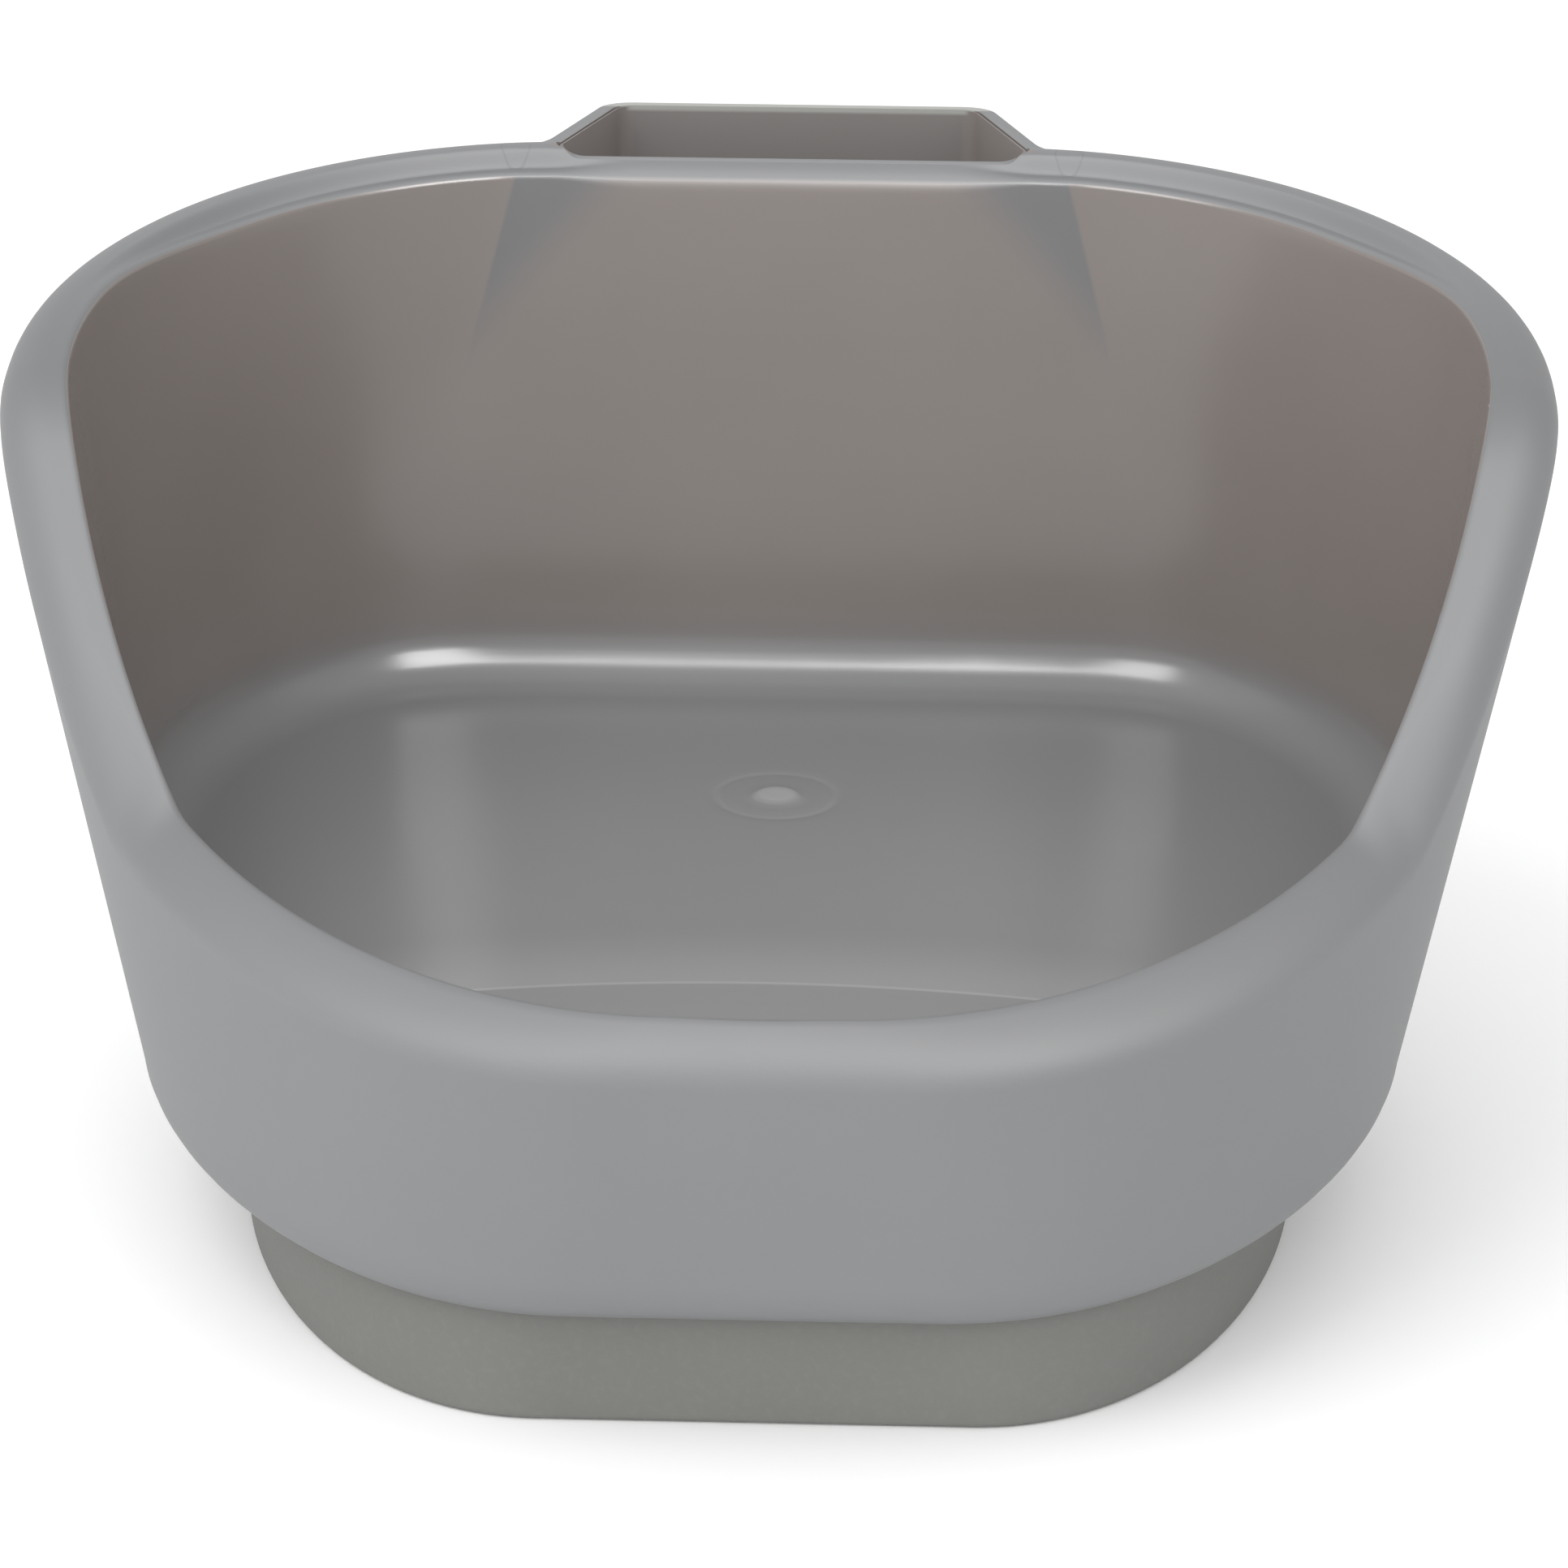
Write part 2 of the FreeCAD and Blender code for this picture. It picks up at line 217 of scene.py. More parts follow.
class BowlShape:
    """Surfaces of the bowl as stacked rings of points, in millimetres."""
    PANEL_TOP = (77.7, 52.1)       # height and y of the flat panel on the inside of the back
    PANEL_SLOPE = 0.130            # its lean to the rear for each millimetre of height
    INNER_CURVE = np.array([0.0, 0.0, 0.0, 0.0, 5.0])     # the inside is less flat in front
    ROLL_SHARE = 0.68              # share of the rim's width that the roll takes
    BAND = (0.70, 0.84)            # share of the width where the high rim steps down
    LIP_ROLL = (0.97, 3.6, math.radians(40.0))      # share, depth and turn of the lip's roll
    CREASE = (-26.3, 0.0045)       # y of the crease in front of the floor, and its curving
    STRAIGHT_SPAN = (14.0, 24.0)   # half widths over which the rim's band gives way to a crown

    def __init__(self, sizes, base):
        self.columns = Columns(back=12, rear=110, front=110, lip=8)
        self.foot = base.height / MM
        self.corner = sizes.corner_height / MM
        self.start = self.foot + self.corner
        self.floor = sizes.floor_height / MM
        self.floor_corner = sizes.floor_corner / MM
        self.thin = sizes.wall_thin / MM
        self.thick = sizes.wall_thick / MM
        self.skirt = sizes.skirt_wall / MM
        self.roll = sizes.roll_depth / MM
        self.drop = sizes.band_drop / MM
        self.edge = sizes.inner_round / MM
        self.ramp = math.tan(sizes.ramp_angle)
        self.loop_top = sizes.loop_top / MM
        self.loop_low = self.loop_top - sizes.loop_height / MM
        self.flare = sizes.loop_flare / MM

    def between(self, z, low, high):
        part = (np.asarray(z, float) - self.start) / (RIM_LEVEL - self.start)
        return low + part[..., None] * (high - low)

    def outer_wall(self, z):
        return self.between(z, WALL_FOOT, WALL_RIM)

    def inner_wall(self, z):
        return self.between(z, WALL_FOOT - self.thin * ALL_ROUND - self.INNER_CURVE,
                            WALL_RIM - self.thick * ALL_ROUND - self.INNER_CURVE)

    def rim_level(self, wall, drop=0.0):
        """Height at which each column of a wall meets the rim line, less a drop."""
        low = np.full(self.columns.count, self.start)
        high = np.full(self.columns.count, 100.0)
        for _ in range(40):
            middle = 0.5 * (low + high)
            above = middle > rim_height(self.columns.plan(wall(middle))[1]) - drop
            high = np.where(above, middle, high)
            low = np.where(above, low, middle)
        return 0.5 * (low + high)

    def inside_ring(self, z):
        """Ring on the inner wall, with the flat panel on the inside of the back."""
        ring = self.columns.ring(self.inner_wall(z), z)
        return self.flattened(ring, self.columns.plan(WALL_FOOT)[1])

    def flattened(self, ring, order, nearer=0.0):
        """The ring with its back cut off by the panel, crisply above and softly below."""
        z = ring[:, 2]
        top_z, top_y = self.PANEL_TOP
        panel = top_y - self.PANEL_SLOPE * (top_z - z) - nearer
        soft = 0.25 + 4.0 * smoothstep(66.0, 40.0, z)
        apart = ring[:, 1] - panel
        y = ring[:, 1] - 0.5 * (apart + np.sqrt(apart ** 2 + soft ** 2))
        flat = np.where(order > 0.0, smoothstep(10.0, 30.0, ring[:, 1]), 0.0)
        result = ring.copy()
        result[:, 1] += flat * (y - ring[:, 1])
        return result

    def crease_y(self, x):
        y, curving = self.CREASE
        return y - curving * x ** 2

    def floor_z(self, x, y):
        """Height of the floor, which turns up into a ramp in front of its crease."""
        ahead = self.crease_y(x) - y
        return self.floor + self.ramp * 0.5 * (ahead + np.sqrt(ahead ** 2 + 0.09))

    def outside(self):
        """Rings up the outside, from the edge above the base to the foot of the rolled rim."""
        rings = []
        for turn in np.linspace(0.0, 0.5 * math.pi, 11):
            outline = BOTTOM_EDGE + math.sin(turn) * (WALL_FOOT - BOTTOM_EDGE)
            rings.append(self.columns.ring(outline,
                                           self.foot + self.corner * (1.0 - math.cos(turn))))
        lip = smoothstep(*LIP_SPAN, self.columns.plan(WALL_RIM)[1])
        top = self.rim_level(self.outer_wall) - self.roll - lip * (self.LIP_ROLL[1] - self.roll)
        for part in np.linspace(0.0, 1.0, 26)[1:-1]:
            z = self.start + part * (top - self.start)
            rings.append(self.columns.ring(self.outer_wall(z), z))
        return rings

    def rim(self):
        """Rings over the rim: the outer roll, the sloping band and the inner edge."""
        columns = self.columns
        x_rim, y_rim = columns.plan(WALL_RIM)
        behind = smoothstep(*HIGH_RIM_SPAN, y_rim)
        drop = self.drop * behind
        z_out = self.rim_level(self.outer_wall)
        z_in = self.rim_level(self.inner_wall, drop)
        outer = columns.ring(self.outer_wall(z_out), z_out)
        inner = self.inside_ring(z_in)
        outer_down = columns.ring(self.outer_wall(z_out - 1.0), z_out - 1.0) - outer
        inner_down = self.inside_ring(z_in - 1.0) - inner
        across = inner - outer
        width = np.linalg.norm(across, axis=1)
        middle = behind * (1.0 - smoothstep(*self.STRAIGHT_SPAN, np.abs(x_rim)))
        edge = self.edge * (1.0 + 1.6 * middle)
        edge_share = edge / width

        def land(part):
            part = np.broadcast_to(part, (columns.count,))
            point = outer + across * part[:, None]
            even = part - part ** 2
            banded = part - smoothstep(*self.BAND, part)
            point[:, 2] += drop * ((1.0 - middle) * banded + middle * even)
            return point

        lip = smoothstep(*LIP_SPAN, y_rim)
        lip_share, lip_depth, lip_turn = self.LIP_ROLL
        end = 1.0 - edge_share
        roll_share = self.ROLL_SHARE + lip * (lip_share - self.ROLL_SHARE)
        roll_share = np.minimum(roll_share, end - 0.01)
        roll_depth = self.roll + lip * (lip_depth - self.roll)
        full_turn = 0.5 * math.pi + lip * (lip_turn - 0.5 * math.pi)
        rings = []
        for part in np.linspace(0.0, 1.0, 15):
            turn = part * full_turn
            point = land(roll_share * (1.0 - np.cos(turn)) / (1.0 - np.cos(full_turn)))
            down = roll_depth * (1.0 - np.sin(turn) / np.sin(full_turn))
            rings.append(point + outer_down * down[:, None])
        for part in np.linspace(0.0, 1.0, 20)[1:]:
            rings.append(land(roll_share + (end - roll_share) * part))
        for turn in np.linspace(0.0, 0.5 * math.pi, 7)[1:]:
            point = land(1.0 - edge_share * (1.0 - math.sin(turn)))
            rings.append(point + inner_down * (edge * (1.0 - math.cos(turn)))[:, None])
        return rings, z_in - edge

    def inside(self, top):
        """Rings down the inner wall and round the corner to the floor."""
        rings = []
        foot_outline = self.inner_wall(self.floor + self.floor_corner)
        foot_outline = foot_outline - self.floor_corner * ALL_ROUND
        foot = self.columns.ring(foot_outline, self.floor + self.floor_corner)
        order = self.columns.plan(WALL_FOOT)[1]
        foot_x, foot_y, _ = self.flattened(foot, order, self.floor_corner).T
        foot_z = self.floor_z(foot_x, foot_y)
        last = np.minimum(foot_z + self.floor_corner, top - 0.4)
        for part in np.linspace(0.0, 1.0, 34)[1:]:
            rings.append(self.inside_ring(top + part * (last - top)))
        wall_x, wall_y, _ = rings[-1].T
        for turn in np.linspace(0.0, 0.5 * math.pi, 13)[1:]:
            inwards = 1.0 - math.cos(turn)
            x = wall_x + inwards * (foot_x - wall_x)
            y = wall_y + inwards * (foot_y - wall_y)
            z = foot_z + (last - foot_z) * (1.0 - math.sin(turn))
            rings.append(np.stack([x, y, z], axis=1))
        return rings

    def floor_rings(self, edge):
        """Rings from the corner of the floor to the gate mark, with one along the crease."""
        centre = np.array(GATE_MARK)
        spoke = edge[:, :2] - centre
        reach = np.linalg.norm(spoke, axis=1)
        way = spoke / reach[:, None]
        y0, curving = self.CREASE
        depth = centre[1] - y0
        a = curving * way[:, 0] ** 2
        root = way[:, 1] ** 2 - 4.0 * a * depth
        straight = np.where(way[:, 1] < -0.05, depth / np.maximum(-way[:, 1], 0.05), np.inf)
        curved = (-way[:, 1] - np.sqrt(np.maximum(root, 0.0))) / np.maximum(2.0 * a, 1e-9)
        crease = np.where(a > 1e-6, curved, straight)
        crease = np.where((way[:, 1] < -0.05) & (root > 0.0), crease, np.inf)
        crease = np.minimum(crease, reach - 0.3)

        rings = []

        def add(radius, lift=0.0):
            point = centre + way * np.broadcast_to(radius, reach.shape)[:, None]
            z = self.floor_z(point[:, 0], point[:, 1]) + lift
            rings.append(np.column_stack([point, z]))

        for part in (0.25, 0.5, 0.75, 0.9, 0.96):
            add(reach + (crease - reach) * part)
        add(crease)
        for back in (0.25, 0.7):
            add(np.maximum(crease - back, 8.0))
        for part in np.linspace(0.0, 1.0, 12)[1:]:
            add(crease - 0.7 + (7.0 - crease + 0.7) * part)
        for radius, lift in ((6.1, 0.0), (5.8, -0.03), (5.5, -0.08), (5.2, -0.03), (4.9, 0.0),
                             (3.4, 0.0), (2.35, 0.0), (2.15, 0.05), (1.95, 0.16), (1.7, 0.2),
                             (0.8, 0.2)):
            add(radius, lift)
        return rings, np.array([*centre, self.floor + 0.2])

    def underside(self):
        """Rings of the hollow below the floor, from its middle out to the lower edge."""
        roof = self.floor - self.skirt
        inset = self.skirt * ALL_ROUND
        ring = self.columns.ring
        start = self.outer_wall(roof) - inset
        rings = [ring(start * part, roof) for part in (0.3, 0.6, 0.9, 1.0)]
        rings.append(ring(WALL_FOOT - inset, self.start))
        for turn in np.linspace(0.5 * math.pi, 0.0, 6)[1:]:
            outline = BOTTOM_EDGE + math.sin(turn) * (WALL_FOOT - BOTTOM_EDGE) - inset
            rise = (self.corner - self.skirt) * (1.0 - math.cos(turn))
            rings.append(ring(outline, self.foot + self.skirt + rise))
        rings.append(ring(NECK, self.foot + self.skirt))
        rings.append(ring(NECK, self.foot))
        return rings, np.array([0.0, 7.0, roof])


# ---------------------------------------------------------------- meshes

def bands(rings):
    """Vertices of stacked closed rings, and the faces between each ring and the next."""
    count = len(rings[0])
    verts = [tuple(point) for ring in rings for point in ring]
    faces = []
    for row in range(len(rings) - 1):
        a, b = row * count, (row + 1) * count
        for i in range(count):
            j = (i + 1) % count
            faces.append((a + i, a + j, b + j, b + i))
    return verts, faces


def skin(rings, first_pole, last_pole):
    """Vertices and faces of stacked closed rings, closed by a fan at each end."""
    verts, faces = bands(rings)
    count = len(rings[0])
    last = (len(rings) - 1) * count
    verts += [tuple(first_pole), tuple(last_pole)]
    for i in range(count):
        j = (i + 1) % count
        faces.append((j, i, len(verts) - 2))
        faces.append((last + i, last + j, len(verts) - 1))
    return verts, faces


def new_object(name, verts, faces):
    """A closed mesh object, made from points in millimetres, with its faces turned outwards."""
    mesh = bpy.data.meshes.new(name)
    mesh.from_pydata([(x * MM, y * MM, z * MM) for x, y, z in verts], [], faces)
    mesh.validate()
    work = bmesh.new()
    work.from_mesh(mesh)
    bmesh.ops.recalc_face_normals(work, faces=work.faces)
    work.to_mesh(mesh)
    work.free()
    obj = bpy.data.objects.new(name, mesh)
    bpy.context.scene.collection.objects.link(obj)
    return obj


def shade(obj, angle):
    """Smooth shading that breaks at edges sharper than the angle, in degrees."""
    for polygon in obj.data.polygons:
        polygon.use_smooth = True
    obj.data.set_sharp_from_angle(angle=math.radians(angle))


def finish_piece(obj, material, node):
    """Gives the object its material and puts it in the place of its part of the frame."""
    obj.data.materials.clear()
    obj.data.materials.append(material)
    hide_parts(node)
    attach(obj, "root")


def combine(obj, other, operation):
    """Joins the other solid to the object or cuts it away, and removes the other."""
    modifier = obj.modifiers.new(operation.lower(), "BOOLEAN")
    modifier.operation = operation
    modifier.solver = "EXACT"
    modifier.object = other
    depsgraph = bpy.context.evaluated_depsgraph_get()
    result = bpy.data.meshes.new_from_object(obj.evaluated_get(depsgraph))
    obj.modifiers.clear()
    before = obj.data
    obj.data = result
    bpy.data.meshes.remove(before)
    mesh = other.data
    bpy.data.objects.remove(other)
    bpy.data.meshes.remove(mesh)


def rounded(corners, steps=8):
    """Closed plan line through corners given as (x, y, radius), each rounded by an arc."""
    points = []
    for i, (x, y, radius) in enumerate(corners):
        tip = np.array([x, y])
        into = np.array(corners[i - 1][:2]) - tip
        out = np.array(corners[(i + 1) % len(corners)][:2]) - tip
        into, out = into / np.linalg.norm(into), out / np.linalg.norm(out)
        half = 0.5 * math.acos(float(np.clip(np.dot(into, out), -1.0, 1.0)))
        reach = radius / math.tan(half)
        start, end = tip + into * reach, tip + out * reach
        middle = (into + out) / np.linalg.norm(into + out)
        centre = tip + middle * radius / math.sin(half)
        a, b = start - centre, end - centre
        sweep = math.acos(float(np.clip(np.dot(a, b) / radius ** 2, -1.0, 1.0)))
        for part in np.linspace(0.0, 1.0, steps):
            k = (math.sin((1.0 - part) * sweep) * a + math.sin(part * sweep) * b)
            points.append(centre + k / math.sin(sweep))
    return np.array(points)


def stacked(levels):
    """Solid from plan lines stacked at levels given as (line, heights), flat at both ends."""
    rings = [np.column_stack([line, np.broadcast_to(z, (len(line),))]) for line, z in levels]
    count = len(rings[0])
    verts, faces = bands(rings)
    faces.append(tuple(range(count))[::-1])
    faces.append(tuple((len(rings) - 1) * count + i for i in range(count)))
    return verts, faces


# ---------------------------------------------------------------- grip loop

class GripLoop:
    """Outer block and opening of the loop behind the high back, in millimetres."""
    REAR = 77.1                    # y of the far side
    NARROWING = 0.25               # loss of half width for each millimetre to the rear
    OUTER_HALF = 24.9              # half width of the outer sides, at the y of SLOT_FRONT
    SLOT_FRONT = 54.5              # y of the opening's front at the top
    SLOT_FRONT_LOW = 56.6          # and at the bottom, flush with the outer wall
    SLOT_HALF = 22.7               # half width of the opening at its front
    SLOT_REAR = 74.9               # y of the opening's far side
    REAR_CORNER = 3.6              # radius of the outer corners
    SLOT_CORNER = 2.4              # radii of the opening's corners, in front
    SLOT_REAR_CORNER = 1.8         # and behind
    EDGE = 0.45                    # rounding of the loop's edges
    RIM_FALL = 0.0019              # fall of the rim beyond its straight back, per square mm
    ROOT_HALF = 33.0               # half width of the part that is sunk in the wall
    ROOT_FRONT = (52.4, 1.6)       # y of its front at the bottom, and the growth to the top
    ROOT_DEPTH = 2.9               # how far its sides stay below the wall's surface

    def __init__(self, shape, profile):
        self.shape = shape
        self.profile = profile     # y and z up the outside and over the rim, behind the slot
        self.top, self.low = shape.loop_top, shape.loop_low

    def side(self, half, y):
        return half - self.NARROWING * (y - self.SLOT_FRONT)

    def wall_y(self, z):
        """How far back the outside of the bowl reaches at height z."""
        y, height = self.profile
        crest = int(np.argmax(height))
        return float(np.interp(z, height[:crest + 1], y[:crest + 1]))

    def land_z(self, y):
        """Height of the top of the rim at y."""
        line_y, height = self.profile
        crest = int(np.argmax(height))
        return np.interp(y, line_y[crest:][::-1], height[crest:][::-1])

    def edge_steps(self, count=5):
        """(inwards, below the top) round a quarter of a small edge radius."""
        for turn in np.linspace(0.0, 0.5 * math.pi, count):
            yield self.EDGE * (1.0 - math.cos(turn)), self.EDGE * (1.0 - math.sin(turn))

    def block(self):
        """The outer block, sunk into the wall, with its edges rounded above and below."""
        def line(z, inset):
            wall = self.wall_y(z)
            rear = self.REAR - inset
            half = self.OUTER_HALF - inset
            meet = wall - 0.7
            front, growth = self.ROOT_FRONT
            inner = front + growth * (z - self.low) / (self.top - self.low)
            right = [(self.ROOT_HALF, inner, 0.3), (self.ROOT_HALF, wall - self.ROOT_DEPTH, 0.3),
                     (self.side(half, meet), meet, self.shape.flare),
                     (self.side(half, rear), rear, self.REAR_CORNER - inset)]
            left = [(-x, y, r) for x, y, r in right[::-1]]
            return rounded(right + left)

        heights = [(self.low + below, inset) for inset, below in self.edge_steps()][::-1]
        heights += [(z, 0.0) for z in np.linspace(self.low + 1.0, self.top - 3.5, 8)]
        heights += [(z, 0.0) for z in np.linspace(self.top - 3.0, self.top - 0.6, 9)]
        heights += [(self.top - below, inset) for inset, below in self.edge_steps()]
        levels = []
        for z, inset in heights:
            outline = line(z, inset)
            away = np.abs(outline[:, 0])
            fall = self.RIM_FALL * np.maximum(away - BACK_FLAT, 0.0) ** 2
            fall = fall + 0.3 * smoothstep(26.0, 30.0, away)
            fall = fall * (z - self.low) / (self.top - self.low)
            levels.append((outline, z - fall))
        return stacked(levels)

    def opening(self):
        """The solid that cuts the opening, a little wider at both ends."""
        def line(z, grow):
            part = (self.top - z) / (self.top - self.low)
            front = self.SLOT_FRONT + part * (self.SLOT_FRONT_LOW - self.SLOT_FRONT) - grow
            rear = self.SLOT_REAR + grow
            half = self.SLOT_HALF + grow
            right = [(self.side(half, front), front, self.SLOT_CORNER),
                     (self.side(half, rear), rear, self.SLOT_REAR_CORNER + grow)]
            left = [(-x, y, r) for x, y, r in right[::-1]]
            return rounded(right + left, steps=12)

        start = self.low - 4.0
        levels = [(line(start, self.EDGE), start)]
        for inset, below in self.edge_steps():
            z = self.low + self.EDGE - below
            levels.append((line(z, self.EDGE - inset), z))
        for z in np.linspace(self.low + 1.0, self.top - 2.5, 8):
            levels.append((line(z, 0.0), z))
        for inset, below in list(self.edge_steps())[::-1]:
            ring = line(self.top - self.EDGE + below, self.EDGE - inset)
            fall = np.minimum(self.land_z(ring[:, 1]) - self.top, 0.0)
            levels.append((ring, self.top - below + fall))
        end = self.top + 5.0
        levels.append((line(end, self.EDGE), end))
        return stacked(levels)


# ---------------------------------------------------------------- materials

class Value:
    """A node's output. Python arithmetic on it adds Math nodes."""

    def __init__(self, finish, socket):
        self.finish = finish
        self.socket = socket

    def math(self, operation, first, second=None):
        inputs = {0: first} if second is None else {0: first, 1: second}
        return self.finish.node("ShaderNodeMath", {"operation": operation}, inputs)

    def __add__(self, other):
        return self.math("ADD", self, other)

    def __radd__(self, other):
        return self.math("ADD", other, self)

    def __sub__(self, other):
        return self.math("SUBTRACT", self, other)

    def __rsub__(self, other):
        return self.math("SUBTRACT", other, self)

    def __mul__(self, other):
        return self.math("MULTIPLY", self, other)

    def __rmul__(self, other):
        return self.math("MULTIPLY", other, self)

    def __pow__(self, other):
        return self.math("POWER", self, other)

    def __abs__(self):
        return self.math("ABSOLUTE", self)


class Finish:
    """A procedural material round one Principled shader."""

    def __init__(self, name):
        self.material = bpy.data.materials.new(name)
        self.material.use_nodes = True
        self.tree = self.material.node_tree
        self.shader = self.tree.nodes["Principled BSDF"]

    def node(self, kind, settings, inputs, output=0):
        """Adds a node, makes its settings, then fills its sockets with values or links."""
        node = self.tree.nodes.new(kind)
        for name, value in settings.items():
            setattr(node, name, value)
        for name, value in inputs.items():
            self.fill(node.inputs[name], value)
        return Value(self, node.outputs[output])

    def fill(self, socket, value):
        """Links a node's output to the socket, or sets a constant on it."""
        if isinstance(value, Value):
            self.tree.links.new(value.socket, socket)
        else:
            socket.default_value = value

    def set(self, **values):
        """Fills sockets of the shader, named with _ for each space."""
        for name, value in values.items():
            self.fill(self.shader.inputs[name.replace("_", " ")], value)

    def place(self):
        """Position on the piece, in metres."""
        return self.node("ShaderNodeTexCoord", {}, {}, "Object")

    def scaled(self, vector, factors):
        return self.node("ShaderNodeVectorMath", {"operation": "MULTIPLY"},
                         {0: vector, 1: factors})

    def noise(self, vector, scale, detail=2.0, roughness=0.5):
        return self.node("ShaderNodeTexNoise", {},
                         {"Vector": vector, "Scale": scale, "Detail": detail,
                          "Roughness": roughness}, "Fac")

    def part(self, vector, axis):
        return self.node("ShaderNodeSeparateXYZ", {}, {0: vector}, axis)

    def ramp(self, value, low, high, start=0.0, end=1.0):
        """Smooth change from start to end while value goes from low to high."""
        return self.node("ShaderNodeMapRange", {"interpolation_type": "SMOOTHSTEP"},
                         {"Value": value, "From Min": low, "From Max": high,
                          "To Min": start, "To Max": end})

    def step(self, value, low, high, start=0.0, end=1.0):
        """A ramp over lengths given in millimetres."""
        return self.ramp(value, low * MM, high * MM, start, end)

    def mix(self, factor, first, second):
        """Colour mix, from first to second."""
        node = self.tree.nodes.new("ShaderNodeMix")
        node.data_type = "RGBA"
        for name, value in (("Factor_Float", factor), ("A_Color", first), ("B_Color", second)):
            socket = next(s for s in node.inputs if s.identifier == name)
            self.fill(socket, value)
        return Value(self, next(s for s in node.outputs if s.identifier == "Result_Color"))

    def bump(self, height, distance, strength=1.0, normal=None):
        inputs = {"Height": height, "Distance": distance, "Strength": strength}
        if normal is not None:
            inputs["Normal"] = normal
        return self.node("ShaderNodeBump", {}, inputs)


def tone(rgb, factor=1.0):
    """A colour made lighter or darker."""
    return tuple(min(1.0, channel * factor) for channel in rgb) + (1.0,)


def away_from(x, y, mark):
    """Distance from a mark given as (x, y) in millimetres."""
    return ((x - mark[0] * MM) ** 2.0 + (y - mark[1] * MM) ** 2.0) ** 0.5


def outside_colour(finish, look, place, clouds):
    """Faintly cloudy grey, with painted shade where the low front of the rim faces up."""
    facing = finish.node("ShaderNodeNewGeometry", {}, {}, "Normal")
    # Painted shade: up-facing outside faces at the front are painted darker.
    upward_painted_shade = finish.ramp(finish.part(facing, "Z"), 0.1, 0.9)
    upward_painted_shade = upward_painted_shade * finish.step(finish.part(place, "Y"), 5.0, 35.0, 1.0, 0.0)
    shell = finish.mix(clouds, tone(look.shell, 0.95), tone(look.shell, 1.05))
    return finish.mix(upward_painted_shade, shell, tone(look.shell, 0.84))


def inside_colour(finish, look, place, clouds):
    """Painted warm cast on the wall, painted cool cast on the floor, painted shade beside the
    panel's creases, painted light on the ramp, a painted highlight along its crease, and the
    gate mark.
    """
    x, y, z = (finish.part(place, axis) for axis in "XYZ")
    # Painted light: the warm wall and the cooler floor are painted casts of the light inside the
    # bowl, on one plastic.
    wall = finish.mix(clouds, tone(look.inside_wall_lit_tint, 0.94), tone(look.inside_wall_lit_tint, 1.06))
    inside = finish.mix(finish.step(z, 31.5, 38.0), tone(look.floor_lit_tint), wall)

    # Painted shade: a darker wedge beside each crease of the back panel, which spreads downwards
    panel_half, spread = 26.5, 0.27
    shade_end, shade_taper = 57.0, 0.65
    panel_top = BowlShape.PANEL_TOP[0]
    inwards = panel_half * MM + (panel_top * MM - z) * spread - abs(x)
    beside = finish.step((z - shade_end * MM) * shade_taper - inwards, 0.0, 9.0)
    beside = beside * finish.step(inwards, 0.0, 0.5) * finish.step(y, 30.0, 40.0)
    inside = finish.mix(beside * 0.8, inside, tone(look.panel_crease_shade))

    low = finish.step(z, 33.0, 36.0, 1.0, 0.0)
    crease_y, curving = BowlShape.CREASE
    behind_crease = y - crease_y * MM + (x * x) * (curving / MM)
    # Painted light: the ramp up to the lip is painted lighter than the floor.
    ramp = finish.step(behind_crease, -0.5, 12.0, 1.0, 0.0) * low
    inside = finish.mix(ramp, inside, tone(look.floor_lit_tint, 1.28))

    # Painted highlight: a thin light line along the crease, where the gloss of the rounded
    # crease catches the light.
    crease = finish.step(abs(behind_crease), 0.1, 0.45, 0.8, 0.0)
    crease = crease * finish.step(z, 30.3, 30.8, 1.0, 0.0)
    from_gate = away_from(x, y, GATE_MARK)
    gate = finish.step(from_gate, 1.3, 2.3, 0.7, 0.0)
    ring = finish.step(abs(from_gate - GATE_RING * MM), 0.0, 0.5, 0.06, 0.0)
    # The gate mark and its ring are real marks; the crease line mixed in with them is a painted
    # highlight.
    return finish.mix((gate + ring + crease) * low, inside, tone(look.floor_lit_tint, 1.75))


def loop_colours(finish, look, place, colour_now):
    """Painted warm cast inside the opening of the grip loop, as on the inner wall, and painted
    light on top of its far side.
    """
    x, y, z = (finish.part(place, axis) for axis in "XYZ")
    half, front, rear = GripLoop.SLOT_HALF, GripLoop.SLOT_FRONT, GripLoop.SLOT_REAR
    sideways = abs(x) + (y - front * MM) * GripLoop.NARROWING
    opening = finish.step(y, front + 0.2, front + 0.8)
    opening = opening * finish.step(y, rear - 0.1, rear + 0.2, 1.0, 0.0)
    opening = opening * finish.step(sideways, half + 0.2, half + 0.8, 1.0, 0.0)
    opening = opening * finish.step(z, 56.0, 56.4)
    # Painted light: the inside of the opening gets the inner wall's painted warm cast.
    colour_now = finish.mix(opening, colour_now, tone(look.inside_wall_lit_tint))
    # Painted light: the top of the loop's far side is painted paler.
    far_top_painted_light = finish.step(y, rear - 0.3, rear) * finish.step(z, 79.4, 79.8)
    return finish.mix(far_top_painted_light, colour_now, tone(look.base, 2.2))


